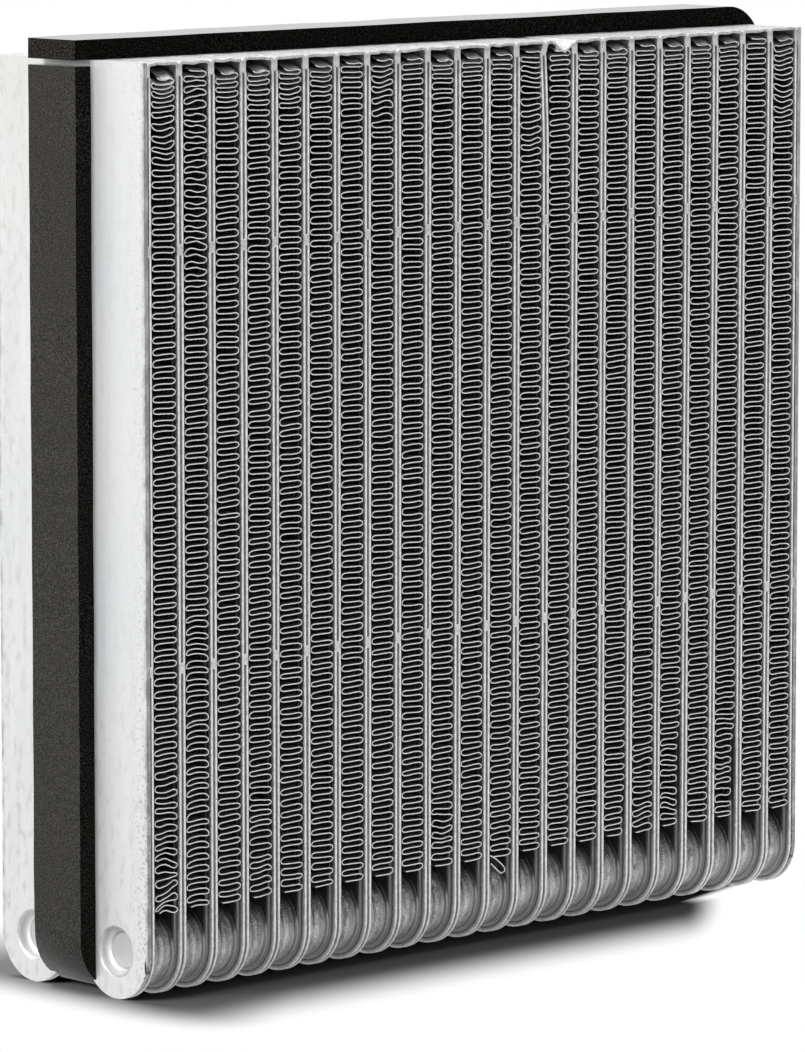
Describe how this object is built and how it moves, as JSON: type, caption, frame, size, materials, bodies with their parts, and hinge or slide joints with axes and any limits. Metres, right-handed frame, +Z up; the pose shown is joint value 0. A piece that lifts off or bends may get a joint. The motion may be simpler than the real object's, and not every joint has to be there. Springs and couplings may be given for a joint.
{
  "type": "evaporator core",
  "caption": "Laminated aluminium evaporator core: flat stamped tubes with tank cups, folded fins between them, end plates, two pipe sockets and a foam seal strip.",
  "frame": {"origin": "centre of the footprint, on the ground under the tank lobes", "axes": "+X along the row of tubes towards the pipe sockets, -Y is the front air face, +Z up along the tubes"},
  "size_m": [0.269, 0.06, 0.2605],
  "materials": {
    "tube_plates": "brazed stamped sheet, dull satin, slightly rough",
    "fins": "thin brazed sheet, satin",
    "end_plates": "rolled sheet, pale satin",
    "ports": "turned, satin",
    "foam": "closed-cell foam, matte, finely speckled"
  },
  "bodies": {
    "root": {"tube_01": "tube_plates", "tube_02": "tube_plates", "tube_03": "tube_plates", "tube_04": "tube_plates", "tube_05": "tube_plates", "tube_06": "tube_plates", "tube_07": "tube_plates", "tube_08": "tube_plates", "tube_09": "tube_plates", "tube_10": "tube_plates", "tube_11": "tube_plates", "tube_12": "tube_plates", "tube_13": "tube_plates", "tube_14": "tube_plates", "tube_15": "tube_plates", "tube_16": "tube_plates", "tube_17": "tube_plates", "tube_18": "tube_plates", "tube_19": "tube_plates", "tube_20": "tube_plates", "tube_21": "tube_plates", "tank_plate_left": "tube_plates", "tank_plate_right": "tube_plates", "tank_divider": "tube_plates", "fin_01": "fins", "fin_02": "fins", "fin_03": "fins", "fin_04": "fins", "fin_05": "fins", "fin_06": "fins", "fin_07": "fins", "fin_08": "fins", "fin_09": "fins", "fin_10": "fins", "fin_11": "fins", "fin_12": "fins", "fin_13": "fins", "fin_14": "fins", "fin_15": "fins", "fin_16": "fins", "fin_17": "fins", "fin_18": "fins", "fin_19": "fins", "fin_20": "fins", "fin_21": "fins", "fin_22": "fins", "end_plate_left": "end_plates", "end_plate_right": "end_plates", "inlet_port": "ports", "outlet_port": "ports", "foam_seal_strip": "foam"}
  },
  "joints": []
}
